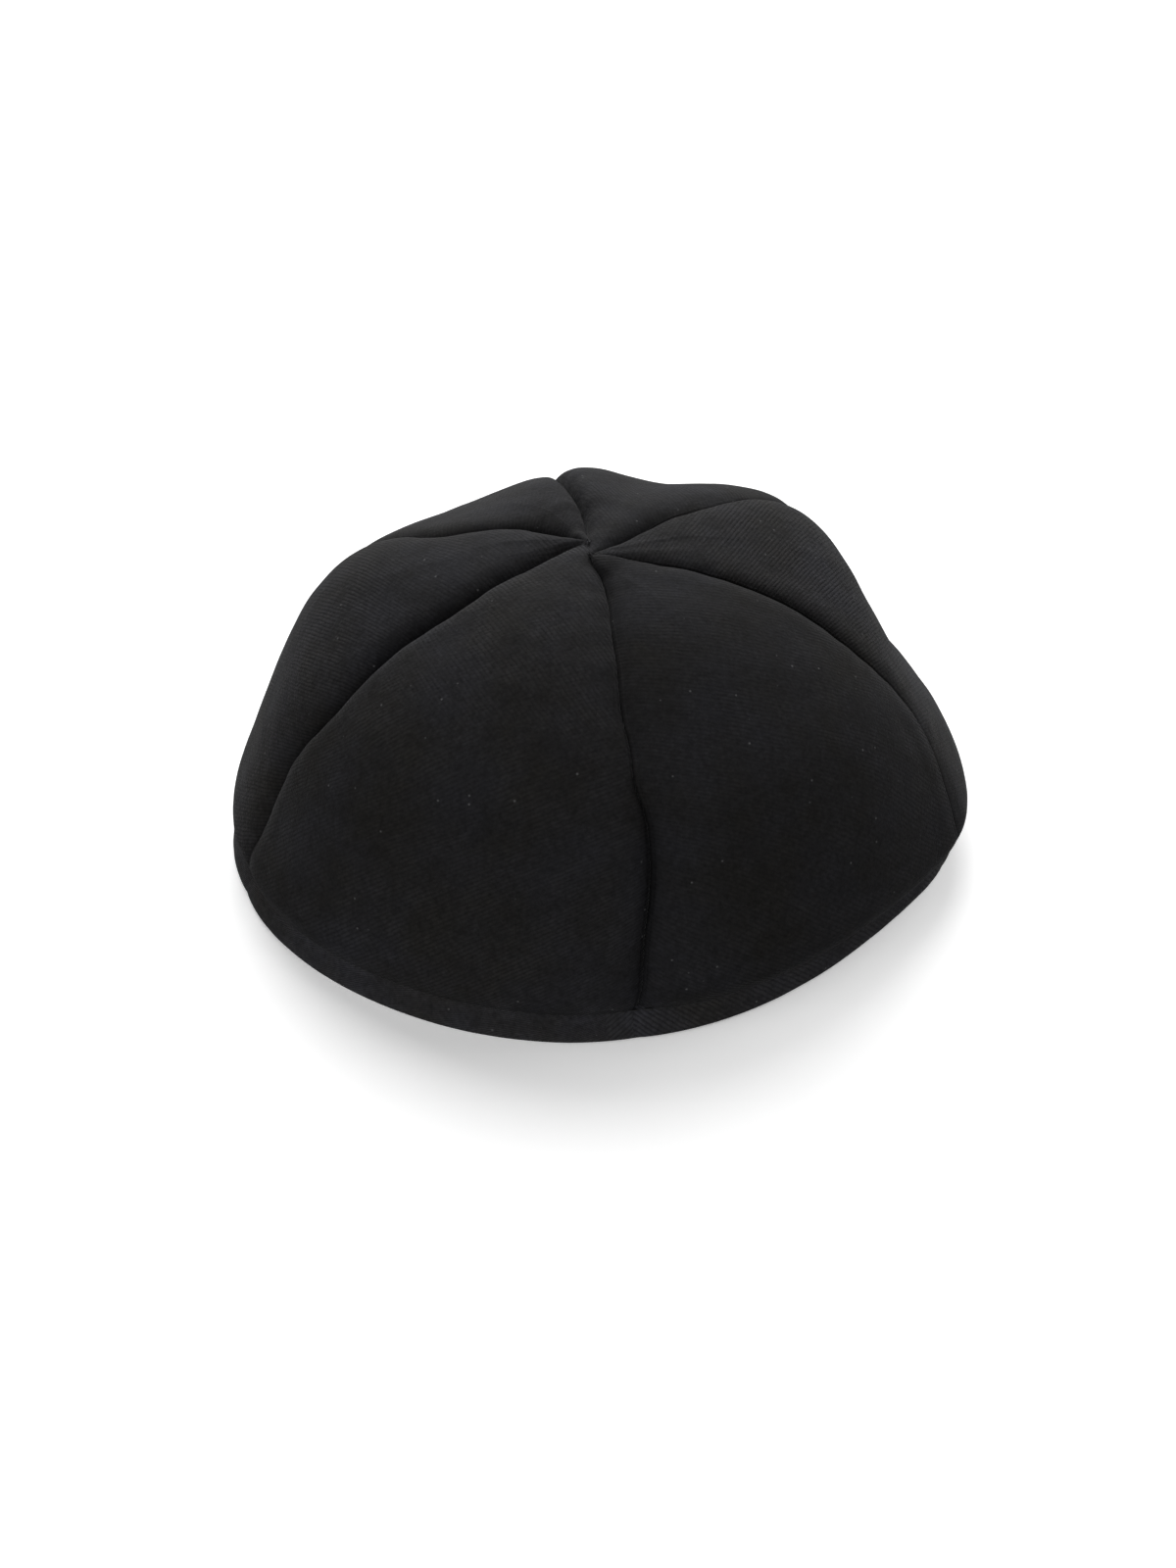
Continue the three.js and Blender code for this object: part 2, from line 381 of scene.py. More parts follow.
# The long seam is followed between these height angles, and its way is taken over some neighbours.
LONG_SEAM_FROM, LONG_SEAM_TO, LONG_SEAM_POINTS = 45, 89.9, 150
NEIGHBOURS = 3


def long_seam():
    """Points of the seam from the front over the crown to the back, and the way backwards at each."""
    heights = np.linspace(LONG_SEAM_FROM, LONG_SEAM_TO, LONG_SEAM_POINTS)
    front = cloth_point(seam_azimuth("front", heights), heights, 0)
    back = cloth_point(seam_azimuth("back", heights), heights, 0)
    line = np.concatenate([front, back[::-1]])
    ahead = np.concatenate([line[NEIGHBOURS:]] + [line[-1:]] * NEIGHBOURS)
    behind = np.concatenate([line[:1]] * NEIGHBOURS + [line[:-NEIGHBOURS]])
    way = ahead - behind
    return line, way / np.linalg.norm(way, axis=1, keepdims=True)


def crown_slide(points, gore):
    """How far each point of that gore moves, in mm, because the tips missed each other."""
    line, way = long_seam()
    crown = cloth_point(np.array([0.0]), np.array([90.0]), 0)[0]
    near = bell(np.linalg.norm(points - crown, axis=-1), MISS_REACH)
    nearest = np.array([np.linalg.norm(line - p, axis=1).argmin() for p in points.reshape(-1, 3)])
    side = 1 if "left" in gore else -1
    slide = MISS / 2 * way[nearest].reshape(points.shape)
    return side * near[..., None] * (slide + [PRESSED, 0, 0])


seam_line = long_seam()[0]
print("long seam from", seam_line[0].round(1), "over", seam_line[LONG_SEAM_POINTS].round(1))

# %% [markdown]
# Each piece of cloth starts as a bmesh grid. Its columns and rows are read back, turned into places
# on the dome, and written to the mesh. The flat pattern of the piece, in millimetres, becomes its
# UV map, so that the weave runs straight along the grain of the cut leaf and meets the next gore at
# an angle in the seam, as cut cloth does. A few numbers are kept with each vertex for the material.

# %% Grids that become cloth
def grid_mesh(name, columns, rows):
    """A flat grid with a UV map named cloth, and the column and row of each of its vertices."""
    bm = bmesh.new()
    bmesh.ops.create_grid(bm, x_segments=columns - 1, y_segments=rows - 1, size=0.5)
    bm.loops.layers.uv.new("cloth")
    mesh = bpy.data.meshes.new(name)
    bm.to_mesh(mesh)
    bm.free()
    flat = np.empty(len(mesh.vertices) * 3)
    mesh.vertices.foreach_get("co", flat)
    flat = flat.reshape(-1, 3)
    column = np.rint((flat[:, 0] + 0.5) * (columns - 1)).astype(int)
    row = np.rint((flat[:, 1] + 0.5) * (rows - 1)).astype(int)
    return mesh, column, row


def write_places(mesh, places_mm, uv_mm):
    mesh.vertices.foreach_set("co", (places_mm * MM).ravel())
    corners = np.empty(len(mesh.loops), dtype=np.int32)
    mesh.loops.foreach_get("vertex_index", corners)
    mesh.uv_layers["cloth"].data.foreach_set("uv", uv_mm[corners].ravel())
    mesh.update()


def write_number(mesh, name, values):
    layer = mesh.attributes.new(name, "FLOAT", "POINT")
    layer.data.foreach_set("value", values.astype(np.float32))


def finished_piece(name, mesh):
    piece = bpy.data.objects.new(name, mesh)
    bpy.context.collection.objects.link(piece)
    for polygon in mesh.polygons:
        polygon.use_smooth = True
    return piece


def thicken(piece):
    thickness = piece.modifiers.new("cloth thickness", "SOLIDIFY")
    thickness.thickness, thickness.offset = CLOTH * MM, -1


# %% [markdown]
# The rows of a gore run from its foot, which is tucked behind the hem, up to its tip. The columns
# run from the first seam to the second, and crowd together near the seams, where the cloth bends
# most. Near the crown a gore gets too narrow for whole strips, so they shrink with the room there.

# %% Where the vertices of a gore lie
# The level of the foot in mm, how much the columns crowd, and the share of the radius at that
# height that a strip may take.
GORE_FOOT = 4.8
CROWDED = 0.45
STRIP_ROOM = 0.34


def lay_out(first, second):
    """Height angle, distance from the first seam in mm, and what else is known of each vertex."""
    leaf = SimpleNamespace(first=first, second=second)
    rim_turn = (SEAMS[second][0] - SEAMS[first][0]) % 360
    leaf.up = np.linspace(0, 1, ROWS)[:, None]
    crowded = (1 - np.cos(np.linspace(0, math.pi, FACE_COLUMNS))) / 2
    face = CROWDED * crowded + (1 - CROWDED) * np.linspace(0, 1, FACE_COLUMNS)
    shares = np.concatenate([np.zeros(len(EDGE)), face, np.ones(len(EDGE))])[None, :]
    lowest = height_angle_at(SEAMS[first][0] + shares * rim_turn, GORE_FOOT, 0)
    leaf.height = lowest + (TIP_ANGLE - lowest) * leaf.up

    h = np.radians(leaf.height)
    leaf.start = seam_azimuth(first, leaf.height)
    width = (seam_azimuth(second, leaf.height) - leaf.start) % 360
    leaf.per_degree = np.radians(1) * folded_radius(leaf.start, leaf.height) * np.cos(h)
    leaf.width = width * leaf.per_degree
    leaf.room = np.clip(STRIP_ROOM * CROWN_HEIGHT * np.cos(h) / ALLOWANCE, 0, 1)
    away = np.concatenate([EDGE[:, 0], FOLD_RADIUS + 0 * face, EDGE[::-1, 0]])[None, :] * leaf.room
    leaf.distance = away + shares * (leaf.width - 2 * away)
    leaf.plain = cloth_point(leaf.start + leaf.distance / leaf.per_degree, leaf.height, 0)
    leaf.to_seam = np.minimum(leaf.distance, leaf.width - leaf.distance)
    steps = np.linalg.norm(np.diff(leaf.plain, axis=0), axis=-1)
    leaf.along_seam = np.concatenate([np.zeros((1, COLUMNS)), np.cumsum(steps, axis=0)])
    return leaf


# %% [markdown]
# Now each vertex gets its depth under the plain dome. The edge columns follow the profile of the
# turned edge, and the columns near a seam roll down into it. Where the leaf on the other side of
# the seam rolls deeper, the wall of this one is made longer to meet it. The same loop works out the
# painted shade of the cloth, a factor that is 1 on the open face and less where shade is painted
# into the seam.

# %% Roll the edges into the seams
# Near the crown the strips shrink first. The fold, the roll's depth and its reach hold out longer,
# by these factors.
FOLD_LASTS, DEPTH_LASTS, REACH_LASTS = 3, 2.4, 2
LEAST_REACH = 0.2


def roll_edges(leaf):
    """Depth in mm and painted shade of each vertex, a factor that is 1 where none is painted."""
    face = np.zeros(FACE_COLUMNS)
    depth = np.concatenate([EDGE[:, 1], face, EDGE[::-1, 1]])[None, :]
    depth = depth * np.clip(leaf.room * FOLD_LASTS, 0, 1)
    paleness = np.ones(leaf.distance.shape)
    first_edge, second_edge = slice(0, len(EDGE)), slice(COLUMNS - len(EDGE), COLUMNS)
    for seam, side, gap, columns, wall in (
        (leaf.first, 1, leaf.distance, first_edge, EDGE[:, 2]),
        (leaf.second, 0, leaf.width - leaf.distance, second_edge, EDGE[::-1, 2]),
    ):
        roll_depth, roll_reach = ROLLS[seam][side]
        other_depth = ROLLS[seam][1 - side][0]
        strength = share_at(STRENGTHS[seam], leaf.height) * np.clip(leaf.room * DEPTH_LASTS, 0, 1)
        reach = roll_reach * np.clip(leaf.room * REACH_LASTS, LEAST_REACH, 1)
        inside, this_edge = np.zeros((1, COLUMNS)), np.zeros((1, COLUMNS))
        inside[0, columns], this_edge[0, columns] = wall, 1
        near = np.where(inside > 0, 0, gap)
        kept = share_at(FOLD_KEPT.get(seam, {0: 1}), leaf.height)
        depth = depth - this_edge * (1 - kept) * np.minimum(depth, FOLD_RADIUS)
        core = CORES[seam] * strength * np.exp(-near / CORE_REACH)
        depth = depth + strength * roll_depth * np.exp(-near / reach) + core
        depth = depth + strength * max(other_depth - roll_depth, 0) * inside
        deep, full = min(roll_depth / DEEP_ROLL, 1), np.minimum(strength, 1)
        # Shade is painted into the seam, and a share of it onto the edge that stays up.
        paleness = paleness * (1 - SHADE * deep * full * np.exp(-near / SHADE_REACH))
        edge_shade = EDGE_SHADE * (1 - deep) * full * np.exp(-near / EDGE_SHADE_REACH)
        paleness = paleness * (1 - edge_shade)
    return depth, paleness


# %% [markdown]
# The weave does not look the same all over. Near the left front seam a second family of ribs
# crosses the first and takes over, and in some places wear and tension lay the ribs bare, while the
# nap hides them elsewhere. Both are worked out for each vertex, gore by gore.

# %% Where the ribs of the weave show
# By height angle: how far the second family has taken over, and how bare the ribs lie.
CROSSED = {"gore_front_left": {40.2: 0.1, 53.4: 0.7}}
CROSSED_ELSEWHERE = {0: 0.1}
BARE = {
    "gore_front_left": {12: 0.65, 22: 0.5},
    "gore_left": {44: 1.05, 58: 0.4},
    "gore_front_right": {12: 0.5, 22: 0.3},
}
BARE_ELSEWHERE = {0: 0.4}
# The cloth is tense in front of the left front seam, by height angle, and before the right front
# seam, all along it. The reaches are in mm. The tension brings out the crossing ribs on the left.
TENSE_LEFT, TENSE_LEFT_REACH, TENSE_CROSSED = {26: 0, 38: 1}, 8, 1.1
TENSE_RIGHT, TENSE_RIGHT_REACH = 0.9, 4
# The right shoulder is worn: least and added bareness, and the height angle and spread of the wear.
SHOULDER_LEAST, SHOULDER_WEAR, SHOULDER_HEIGHT, SHOULDER_SPREAD = 0.5, 0.8, 52, 20
BAREST = 1.3


def rib_patches(name, leaf):
    """Share of the crossing ribs, from 0 to 1, and how bare the ribs lie, from 0 to BAREST."""
    cross = share_at(CROSSED.get(name, CROSSED_ELSEWHERE), leaf.height)
    bare = share_at(BARE.get(name, BARE_ELSEWHERE), leaf.height)
    if name == "gore_front_left":
        tense = np.exp(-leaf.distance / TENSE_LEFT_REACH) * share_at(TENSE_LEFT, leaf.height)
        cross, bare = np.maximum(cross, TENSE_CROSSED * tense), np.maximum(bare, BAREST * tense)
    if name == "gore_front_right":
        from_second = leaf.width - leaf.distance
        bare = np.maximum(bare, TENSE_RIGHT * np.exp(-from_second / TENSE_RIGHT_REACH))
    if name == "gore_right":
        bare = SHOULDER_LEAST + SHOULDER_WEAR * bell(leaf.height - SHOULDER_HEIGHT, SHOULDER_SPREAD)
    return np.clip(cross, 0, 1), np.clip(bare, 0, BAREST)


# %% [markdown]
# Last, the gore is put together: the plain dome, the waves and puckers, the lift of the strips
# below, the depth of its edges and the slide at the crown. Its foot is tucked in, so that the hem
# covers it. Laid flat, each line across the gore is an arc, whose bend is the turn of its azimuth
# as seen from above.

# %% Build the gores
# Below this level the foot is tucked in, by up to TUCK mm, which is reached over this spread.
TUCK, TUCK_LEVEL, TUCK_SPREAD, TUCK_CURVE = 1.1, HEM_HEIGHT + 0.3, 1.0, 1.5
# The waves and puckers die out over a 14th of the gore at its foot and a 9th of it at its tip.
CALM_FOOT, CALM_TIP = 14, 9
# Shade is painted into the stitches' groove, and onto the front right gore near the crown.
FOOT_SHADE, FOOT_SHADE_REACH = 0.32, 3.5
PAINTED_SHADE_BY_GORE = {"gore_front_right": {42: 1.0, 58: 0.85}}
FIRST_SEED = 11


def laid_flat(leaf):
    """Place of each vertex on the flat cloth, in mm."""
    across = leaf.distance - leaf.width / 2
    bend = np.radians(across / leaf.per_degree) * np.sin(np.radians(leaf.height))
    bend = np.where(np.abs(bend) < 1e-6, 1e-6, bend)
    middle = leaf.along_seam[:, COLUMNS // 2][:, None]
    return np.stack([across * np.sin(bend) / bend, middle + across * (1 - np.cos(bend)) / bend], axis=-1)


def make_gore(index):
    name = GORES[index]
    leaf = lay_out(SEAM_NAMES[index], SEAM_NAMES[(index + 1) % len(SEAM_NAMES)])
    depth, paleness = roll_edges(leaf)

    level = leaf.plain[..., 2]
    lift = handled(leaf.plain, leaf.to_seam, leaf.along_seam, index + FIRST_SEED)
    lift = lift + STRIP_LIFT * leaf.room / (1 + np.exp((leaf.to_seam - ALLOWANCE) / STRIP_EDGE))
    lift = lift * np.clip(leaf.up * CALM_FOOT, 0, 1) * np.clip((1 - leaf.up) * CALM_TIP, 0, 1)
    lift = lift - TUCK * np.clip((TUCK_LEVEL - level) / TUCK_SPREAD, 0, 1) ** TUCK_CURVE
    # Painted shade in the groove above the hem, and on the front right gore near the crown.
    foot_shade = FOOT_SHADE * np.exp(-np.maximum(level - HEM_HEIGHT, 0) / FOOT_SHADE_REACH)
    paleness = paleness * (1 - foot_shade) * share_at(PAINTED_SHADE_BY_GORE.get(name, {0: 1}), leaf.height)
    outwards = leaf.plain / np.linalg.norm(leaf.plain, axis=-1, keepdims=True)
    points = leaf.plain + outwards * (lift - depth)[..., None]
    points = points + crown_slide(points, name)

    mesh, column, row = grid_mesh(name, COLUMNS, ROWS)
    write_places(mesh, points[row, column], laid_flat(leaf)[row, column])
    cross_ribs, bare_ribs = rib_patches(name, leaf)
    write_number(mesh, "cross_ribs", cross_ribs[row, column])
    write_number(mesh, "bare_ribs", bare_ribs[row, column])
    write_number(mesh, "paleness", paleness[row, column])
    gore = finished_piece(name + "_cloth", mesh)
    thicken(gore)
    return gore


gores = [make_gore(index) for index in range(len(GORES))]

# %% [markdown]
# The hem is the rim's cloth, folded under to the inside and stitched down. Its band stands out from
# the foot of the gores by the groove that the stitches draw in, and flares a little to its foot. It
# is a strip of grid bent round the rim: each row is one line round the cap, and the rows follow the
# folded section from the stitch line down the outside, round the foot and up the inside. The two
# ends of the strip are merged, which closes the ring.

# %% The section of the hem
# In mm: the radius of the fold at the foot, and how far the foot flares out.
HEM_FOOT = 1.1
HEM_FLARE = 0.5
HEM_TURN_STEPS = 11
# Level and inset in mm of the outside of the band, from the stitch line down.
HEM_OUTSIDE = [(7.4, 1.2), (7.0, 0.7), (6.6, 0.36), (6.2, 0.13), (5.8, 0.02), (5.4, 0), (4.9, -0.03)]
HEM_OUTSIDE += [(4.2, -0.08), (3.4, -0.18), (2.6, -0.32), (1.8, -0.45), (HEM_FOOT, -HEM_FLARE)]
HEM_INSIDE_LEVELS = (2, 3, 4, 5, 6, 7)


def hem_section():
    """Level and inset of the folded strip, in mm, from the stitch line outside to the raw edge inside."""
    turn = []
    for angle in np.linspace(0, math.pi, HEM_TURN_STEPS)[1:]:
        turn.append((HEM_FOOT * (1 - math.sin(angle)), HEM_FOOT * (1 - math.cos(angle)) - HEM_FLARE))
    inside = [(level, 2 * HEM_FOOT) for level in HEM_INSIDE_LEVELS]
    return np.array(HEM_OUTSIDE + turn + inside)


print("the hem's section has", len(hem_section()), "rows")

# %% Build the hem
HEM_COLUMNS = 720
RING_GAP = 0.01 * MM
# Each seam of the gores runs on into the hem as a small notch.
NOTCH, NOTCH_SPREAD, NOTCH_LEVEL = 0.2, 1.0, 4.0
# Height in mm, size in mm and seed of the waves of the band, which lies still below this level.
HEM_WAVES = ((0.16, 11.0, 7), (0.1, 4.5, 9))
HEM_STILL = 1.5
# The band is pressed, so its ribs lie bare, and painted light makes it paler than the gores.
HEM_NUMBERS = {"cross_ribs": 0.0, "bare_ribs": 1.0, "paleness": 1.38}


def seam_notches(azimuth):
    notch = np.zeros_like(azimuth)
    for seam in SEAMS:
        turned = np.abs(turn_between(azimuth, seam_azimuth(seam, NOTCH_LEVEL)))
        away = turned * np.radians(1) * HALF_WIDTH
        notch = np.maximum(notch, NOTCH * np.exp(-away / NOTCH_SPREAD))
    return notch


def close_ring(mesh):
    bm = bmesh.new()
    bm.from_mesh(mesh)
    bmesh.ops.remove_doubles(bm, verts=bm.verts, dist=RING_GAP)
    bm.to_mesh(mesh)
    bm.free()


def make_hem():
    section = hem_section()[::-1]
    mesh, column, row = grid_mesh("hem", HEM_COLUMNS + 1, len(section))
    azimuth = np.linspace(0, 360, HEM_COLUMNS + 1)[None, :] + np.zeros((len(section), 1))
    level, inset = section[:, :1] + 0 * azimuth, section[:, 1:] + 0 * azimuth
    points = cloth_point(azimuth, height_angle_at(azimuth, np.maximum(level, 0.0), 0), inset)
    points[..., 2] = level
    flat = points * [1, 1, 0]
    outwards = flat / np.linalg.norm(flat, axis=-1, keepdims=True)
    wave = sum(high * smooth_noise(points, size, seed) for high, size, seed in HEM_WAVES)
    wave[:, -1] = wave[:, 0]
    out = (wave - seam_notches(azimuth)) * np.clip(level / HEM_STILL, 0, 1)
    points = points + outwards * out[..., None]

    around = np.cumsum(np.linalg.norm(np.diff(points, axis=1, prepend=points[:, :1]), axis=-1), axis=1)
    down = np.cumsum(np.linalg.norm(np.diff(points, axis=0, prepend=points[:1]), axis=-1), axis=0)
    write_places(mesh, points[row, column], np.stack([around, down], axis=-1)[row, column])
    close_ring(mesh)
    for name, value in HEM_NUMBERS.items():
        write_number(mesh, name, np.full(len(mesh.vertices), value))
    hem = finished_piece("hem_cloth", mesh)
    thicken(hem)
    print("hem", len(mesh.polygons), "faces, rim", round(float(around.max())), "mm round")
    return hem


hem = make_hem()

# %% [markdown]
# The topstitching is a line of short thread stitches that lie deep in the groove above the band,
# black on black, so that they hardly show. Each is a small bmesh sphere stretched along the line,
# with a gap where the needle went through, and all of them together are one mesh. A bevelled curve
# would give one endless cord instead of stitches.

# %% Build the stitches
# All in mm. The thread lies a little below the plain face of the cloth.
STITCH_PITCH, STITCH_LENGTH, THREAD = 2.9, 2.2, 0.36
STITCH_LEVEL, STITCH_SUNK = 6.75, 0.2
LINE_POINTS = 3601


def make_stitches():
    azimuth = np.linspace(0, 360, LINE_POINTS)
    line = cloth_point(azimuth, height_angle_at(azimuth, STITCH_LEVEL, 0), STITCH_SUNK)
    run = np.concatenate([[0], np.cumsum(np.linalg.norm(np.diff(line, axis=0), axis=1))])
    count = round(run[-1] / STITCH_PITCH)

    def at(length):
        return Vector([np.interp(length % run[-1], run, line[:, axis]) for axis in range(3)])

    stretch = Vector((1, 1, STITCH_LENGTH / THREAD))
    bm = bmesh.new()
    for i in range(count):
        middle = i * run[-1] / count
        a, b = at(middle - STITCH_LENGTH / 2), at(middle + STITCH_LENGTH / 2)
        made = bmesh.ops.create_uvsphere(bm, u_segments=8, v_segments=6, radius=THREAD / 2 * MM)
        turn = (b - a).to_track_quat("Z", "Y").to_matrix()
        for vertex in made["verts"]:
            vertex.co = turn @ (vertex.co * stretch) + (a + b) / 2 * MM
    mesh = bpy.data.meshes.new("stitches")
    bm.to_mesh(mesh)
    bm.free()
    print("stitches", count)
    return finished_piece("topstitching", mesh)


stitches = make_stitches()

# %% [markdown]
# The cloth is black cotton twill. Its weave shows as fine slanting ribs 0.92 mm apart, 40 degrees
# off the line across each gore and mirrored on the right half, with a second family that crosses
# them. The ribs are sines of the flat pattern's millimetres, so they follow each cut leaf. A short
# nap covers them in places. A picture of cloth could be laid on instead, but it would blur up close
# and its nap would repeat.

# %% Ribs and specks
TWILL_PITCH = 0.92
TWILL_SLANT, CROSS_SLANT = 40, 149


def twill_ribs(material, uv, slant_degrees):
    """Rounded ribs that run at that slant on the flat cloth, from 0 in the furrow to 1 on the rib."""
    across = math.radians(slant_degrees + 90)
    direction = (math.cos(across) * math.pi / TWILL_PITCH, math.sin(across) * math.pi / TWILL_PITCH, 0)
    phase = add(material, "ShaderNodeVectorMath", {"operation": "DOT_PRODUCT"}, i0=uv, i1=direction)
    wave = add(material, "ShaderNodeMath", {"operation": "SINE"}, i0=phase.outputs["Value"])
    return add(material, "ShaderNodeMath", {"operation": "ABSOLUTE"}, i0=wave.outputs[0]).outputs[0]


def specks(material, places, scale, radius, share, strength):
    """A mask of round specks. Cells are 1/scale metres wide, a share of them holds a speck, and its
    radius is a share of the cell."""
    cells = add(material, "ShaderNodeTexVoronoi", Vector=places, Scale=scale, Randomness=1.0)
    chance = add(material, "ShaderNodeSeparateColor", Color=cells.outputs["Color"]).outputs[0]
    above = {"operation": "GREATER_THAN"}
    chosen = add(material, "ShaderNodeMath", above, i0=chance, i1=1 - share).outputs[0]
    edges = {"From_Min": radius * 0.5, "From_Max": radius, "To_Min": strength, "To_Max": 0.0}
    near = add(material, "ShaderNodeMapRange", Value=cells.outputs["Distance"], **edges).outputs[0]
    return add(material, "ShaderNodeMath", {"operation": "MULTIPLY"}, i0=near, i1=chosen).outputs[0]


# %% [markdown]
# The dye is a near-black grey, uneven like a cloud. Light is painted on the ribs and shade in their
# furrows, and the dye is multiplied by the painted light and shade of each vertex. Loose fibres
# roughen the surface, the nap catches light at a glancing angle, which is the sheen, and a little
# dust and lint clings to it. Noise scales are in cells for each metre, except on the flat pattern,
# which is in mm.

# %% Black cotton twill
def black_cotton_twill(name, mirrored):
    material = new_material(name)
    node = partial(add, material)
    places = node("ShaderNodeTexCoord").outputs["Object"]
    uv = node("ShaderNodeUVMap", {"uv_map": "cloth"}).outputs["UV"]

    # The ribs of the weave, a little uneven, and the second family that crosses them.
    wobble = node("ShaderNodeTexNoise", Vector=uv, Scale=0.3, Detail=2.0).outputs["Color"]
    bent = {"i0": wobble, "i1": (0.6, 0.6, 0.0), "i2": uv}
    yarn = node("ShaderNodeVectorMath", {"operation": "MULTIPLY_ADD"}, **bent).outputs[0]
    slants = (180 - TWILL_SLANT, 180 - CROSS_SLANT) if mirrored else (TWILL_SLANT, CROSS_SLANT)
    main_ribs, cross_ribs = (twill_ribs(material, yarn, slant) for slant in slants)
    crossed = node("ShaderNodeAttribute", {"attribute_name": "cross_ribs"}).outputs["Fac"]
    both = {"i0": crossed, "i2": main_ribs, "i3": cross_ribs}
    ribs = node("ShaderNodeMix", {"data_type": "FLOAT"}, **both).outputs[0]

    # The nap hides them in patches. What is left of them, and loose fibres, make the relief.
    nap = node("ShaderNodeTexNoise", Vector=places, Scale=130.0, Detail=6.0, Roughness=0.78).outputs["Fac"]
    worn = {"From_Min": 0.38, "From_Max": 0.62, "To_Min": 0.15, "To_Max": 1.35}
    nap = node("ShaderNodeMapRange", Value=nap, **worn).outputs[0]
    bare = node("ShaderNodeAttribute", {"attribute_name": "bare_ribs"}).outputs["Fac"]
    bare = node("ShaderNodeMath", {"operation": "MULTIPLY"}, i0=bare, i1=nap).outputs[0]
    ribs = node("ShaderNodeMath", {"operation": "MULTIPLY"}, i0=ribs, i1=bare).outputs[0]
    fibres = node("ShaderNodeTexNoise", Vector=places, Scale=1500.0, Detail=3.0, Roughness=0.7)
    fibres = fibres.outputs["Fac"]
    relief = node("ShaderNodeMath", {"operation": "MULTIPLY_ADD"}, i0=fibres, i1=1.2, i2=ribs)
    relief = relief.outputs[0]
    bump = node("ShaderNodeBump", Height=relief, Strength=0.9, Distance=0.14 * MM).outputs[0]

    # The dye is cloudy and mottled by the nap. Ribs get painted light and furrows painted shade.
    clouds = node("ShaderNodeTexNoise", Vector=places, Scale=45.0, Detail=4.0, Roughness=0.65)
    clouds = node("ShaderNodeMapRange", Value=clouds.outputs["Fac"], From_Min=0.35, From_Max=0.66)
    shades = {"i6": linear("#21201f"), "i7": linear("#252528")}
    dye = node("ShaderNodeMix", {"data_type": "RGBA"}, i0=clouds.outputs[0], **shades).outputs[2]
    mottle = node("ShaderNodeTexNoise", Vector=places, Scale=900.0, Detail=4.0, Roughness=0.75)
    spread = {"From_Min": 0.3, "From_Max": 0.7, "To_Min": 0.66, "To_Max": 1.4}
    mottle = node("ShaderNodeMapRange", Value=mottle.outputs["Fac"], **spread).outputs[0]
    # Painted light on the ribs and painted shade in their furrows.
    furrow = node("ShaderNodeMapRange", Value=ribs, From_Max=0.8, To_Min=0.76, To_Max=1.3).outputs[0]
    mottle_and_painted_shading = node("ShaderNodeMath", {"operation": "MULTIPLY"}, i0=mottle, i1=furrow).outputs[0]
    # The painted light and shade of each vertex, in the seams, the groove and the hem.
    pale = node("ShaderNodeAttribute", {"attribute_name": "paleness"}).outputs["Fac"]
    mottle_and_painted_shading = node("ShaderNodeMath", {"operation": "MULTIPLY"}, i0=mottle_and_painted_shading, i1=pale).outputs[0]
    multiply = {"data_type": "RGBA", "blend_type": "MULTIPLY"}
    shaded = node("ShaderNodeMix", multiply, i0=1.0, i6=dye, i7=mottle_and_painted_shading).outputs[2]

    # Dust and lint lie on top.
    dust = specks(material, places, 330.0, 0.1, 0.3, 0.26)
    lint = specks(material, places, 120.0, 0.03, 0.26, 0.7)
    flecks = node("ShaderNodeMath", {"operation": "MAXIMUM"}, i0=dust, i1=lint).outputs[0]
    lint_grey = linear("#8b8b8c")
    colour = node("ShaderNodeMix", {"data_type": "RGBA"}, i0=flecks, i6=shaded, i7=lint_grey).outputs[2]

    cloth = node("ShaderNodeBsdfPrincipled", Base_Color=colour, Normal=bump, Roughness=0.9, IOR=1.45)
    cloth.inputs["Specular IOR Level"].default_value = 0.12
    cloth.inputs["Sheen Weight"].default_value = 0.14
    cloth.inputs["Sheen Roughness"].default_value = 0.3
    cloth.inputs["Sheen Tint"].default_value = linear("#d8d8da")
    node("ShaderNodeOutputMaterial", Surface=cloth.outputs[0])
    return material


# %% [markdown]
# The sewing thread is black polyester, spun from short fibres. It is as dark as the cloth in the
# groove, a little smoother, and finely twisted, which shows only as a slight roughness.

# %% Polyester thread, and which piece gets what
def polyester_thread(name):
    material = new_material(name)
    places = add(material, "ShaderNodeTexCoord").outputs["Object"]
    twist = add(material, "ShaderNodeTexNoise", Vector=places, Scale=3000.0, Detail=1.0).outputs["Fac"]
    bump = add(material, "ShaderNodeBump", Height=twist, Strength=0.5, Distance=0.08 * MM).outputs[0]
    black = linear("#161617")
    thread = add(material, "ShaderNodeBsdfPrincipled", Base_Color=black, Normal=bump, Roughness=0.7)
    add(material, "ShaderNodeOutputMaterial", Surface=thread.outputs[0])
    return material


twill_left = black_cotton_twill("black_cotton_twill_left", mirrored=False)
twill_right = black_cotton_twill("black_cotton_twill_right", mirrored=True)
thread = polyester_thread("black_polyester_thread")
for gore in gores:
    gore.data.materials.append(twill_left if "left" in gore.name else twill_right)
hem.data.materials.append(twill_left)
hem.data.materials.append(twill_right)
for face in hem.data.polygons:
    azimuth = math.degrees(math.atan2(face.center.x, -face.center.y)) % 360
    face.material_index = int(SEAMS["front"][0] < azimuth < SEAMS["back"][0])
stitches.data.materials.append(thread)
print("materials", [material.name for material in (twill_left, twill_right, thread)])

# %% [markdown]
# Every piece rides on the one body. The gores and the hem each stand for a CAD solid, which is
# hidden for it.


for name, gore in zip(GORES, gores):
    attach(gore, "root")
    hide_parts(name)
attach(hem, "root")
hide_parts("hem")
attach(stitches, "root")

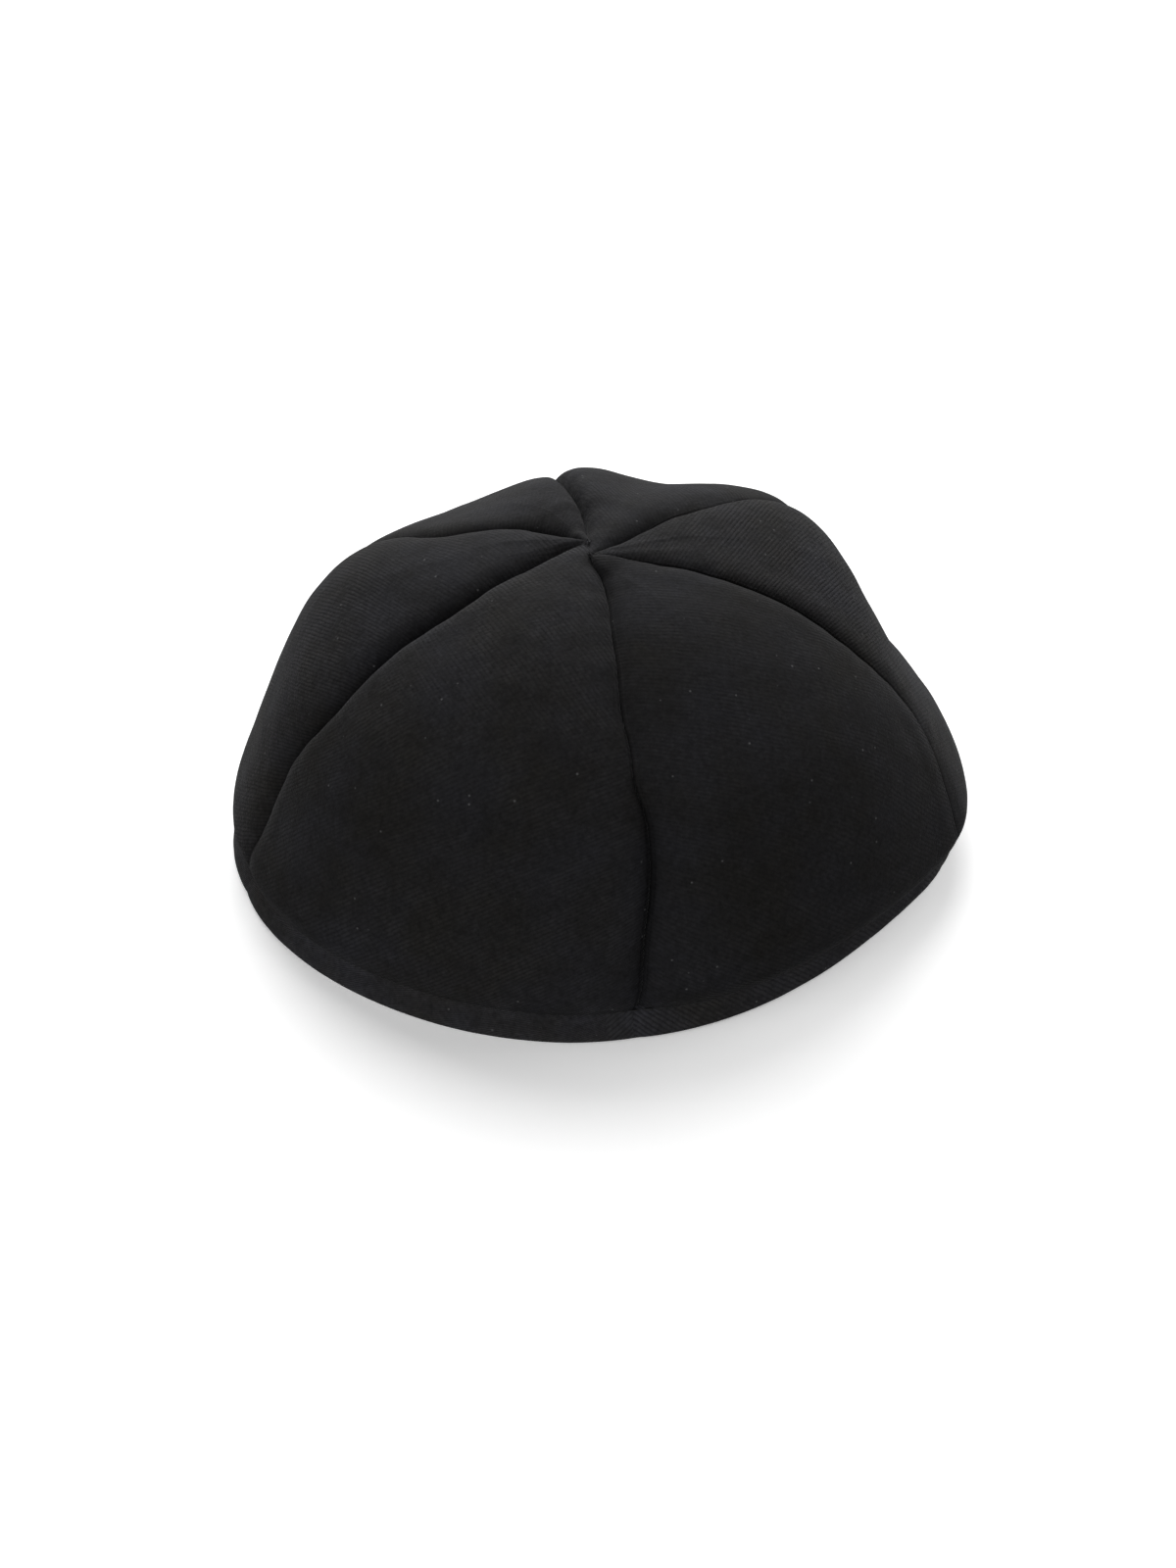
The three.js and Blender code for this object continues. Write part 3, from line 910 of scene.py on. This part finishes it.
# %% [markdown]
# The studio is plain: a near-white floor and background, and soft lamps all round. In the photo the
# cloth that faces down stays dark, so nothing bright lay under the cap. The floor is therefore kept
# out of the light that the cloth gathers and casts no shadow on it, and it glows a little, so that
# it stays white. The camera sees a white sky, which gives the cloth hardly any light.

# %% Floor
FLOOR_HALF = 20.0
FLOOR_GLOW = 0.35


def plain_floor():
    bm = bmesh.new()
    bmesh.ops.create_grid(bm, x_segments=2, y_segments=2, size=FLOOR_HALF)
    mesh = bpy.data.meshes.new("floor")
    bm.to_mesh(mesh)
    bm.free()
    floor = bpy.data.objects.new("floor", mesh)
    bpy.context.collection.objects.link(floor)
    floor.visible_diffuse = floor.visible_glossy = floor.visible_shadow = False
    material = new_material("pale_floor")
    surface = add(material, "ShaderNodeBsdfPrincipled", Base_Color=linear("#fafafa"), Roughness=0.9)
    surface.inputs["Emission Color"].default_value = linear("#ffffff")
    surface.inputs["Emission Strength"].default_value = FLOOR_GLOW
    add(material, "ShaderNodeOutputMaterial", Surface=surface.outputs[0])
    mesh.materials.append(material)
    print("floor", 2 * FLOOR_HALF, "m wide")


plain_floor()

# %% [markdown]
# A black cap shows its shape only by where its nap catches light. In the photo the tops of the
# gores are brightest, the left and right sides are a little darker, and the front is darkest but
# still clear. The wide lamps give that: a strong one behind, one on each side, and a weak one from
# low in front, which fills the shade above the hem. The lamp behind alone would leave the front
# nearly black.

# %% Lamps and sky
# Each lamp comes from an azimuth and a height angle, both in degrees, with a strength.
LAMPS = {
    "lamp_behind": (-172, 38, 3.6),
    "lamp_at_the_left": (-60, 26, 1.0),
    "lamp_at_the_right": (122, 35, 1.4),
    "lamp_in_front": (4, -5, 1.2),
}
LAMP_WIDTH = 50
SKY_LIGHT, SKY_SEEN = 0.03, 1.0


def soft_lamp(name, azimuth, height, strength):
    data = bpy.data.lights.new(name, "SUN")
    data.angle, data.energy = math.radians(LAMP_WIDTH), strength
    lamp = bpy.data.objects.new(name, data)
    lamp.rotation_euler = (0, math.radians(90 - height), math.radians(azimuth - 90))
    bpy.context.collection.objects.link(lamp)


def pale_sky():
    """A world that the camera sees as white, and that gives the cloth hardly any light."""
    world = bpy.data.worlds.new("studio")
    world.use_nodes = True
    world.node_tree.nodes.clear()
    seen = add(world, "ShaderNodeLightPath").outputs["Is Camera Ray"]
    strength = add(world, "ShaderNodeMapRange", Value=seen, To_Min=SKY_LIGHT, To_Max=SKY_SEEN).outputs[0]
    sky = add(world, "ShaderNodeBackground", Color=linear("#ffffff"), Strength=strength)
    add(world, "ShaderNodeOutputWorld", Surface=sky.outputs[0])
    bpy.context.scene.world = world


for name, (azimuth, height, strength) in LAMPS.items():
    soft_lamp(name, azimuth, height, strength)
pale_sky()
bpy.context.scene.view_settings.view_transform = "Standard"
print("lamps", list(LAMPS))
